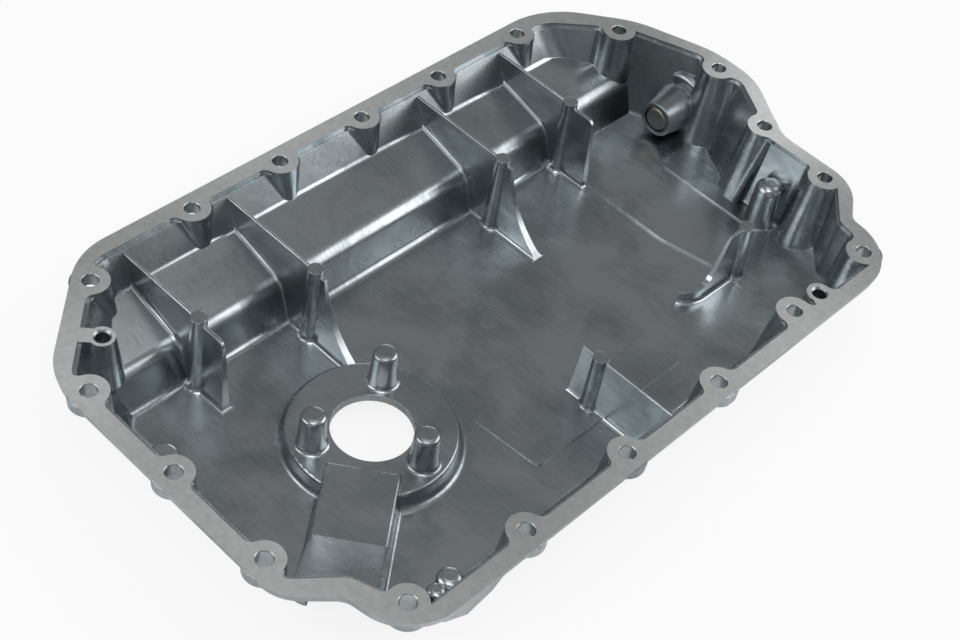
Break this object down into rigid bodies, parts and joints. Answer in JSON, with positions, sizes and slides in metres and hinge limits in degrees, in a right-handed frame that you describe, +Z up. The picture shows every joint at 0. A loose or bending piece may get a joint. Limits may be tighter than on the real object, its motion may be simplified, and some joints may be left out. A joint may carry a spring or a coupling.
{
  "type": "engine oil pan",
  "caption": "Shallow die-cast oil pan with a machined gasket rim, bolt eyes, ribbed baffle posts, a round sensor seat and a side drain plug.",
  "frame": {"origin": "centre of the pan's bounding box in plan, at the height of its lowest face, the underside of the floor", "axes": "+X along the long sides towards the end with the drain plug, +Y towards the side with the shelf and the tall ribs, +Z up, out of the open mouth; the gasket face is the plane z = 0.047"},
  "size_m": [0.382, 0.2308, 0.047],
  "materials": {
    "cast_aluminium": "as-cast, with a milled rim",
    "plated_steel": "zinc plated",
    "washer_metal": "soft, plain"
  },
  "bodies": {
    "root": {"pan_casting": "cast_aluminium", "drain_plug": "plated_steel", "drain_washer": "washer_metal"}
  },
  "joints": []
}
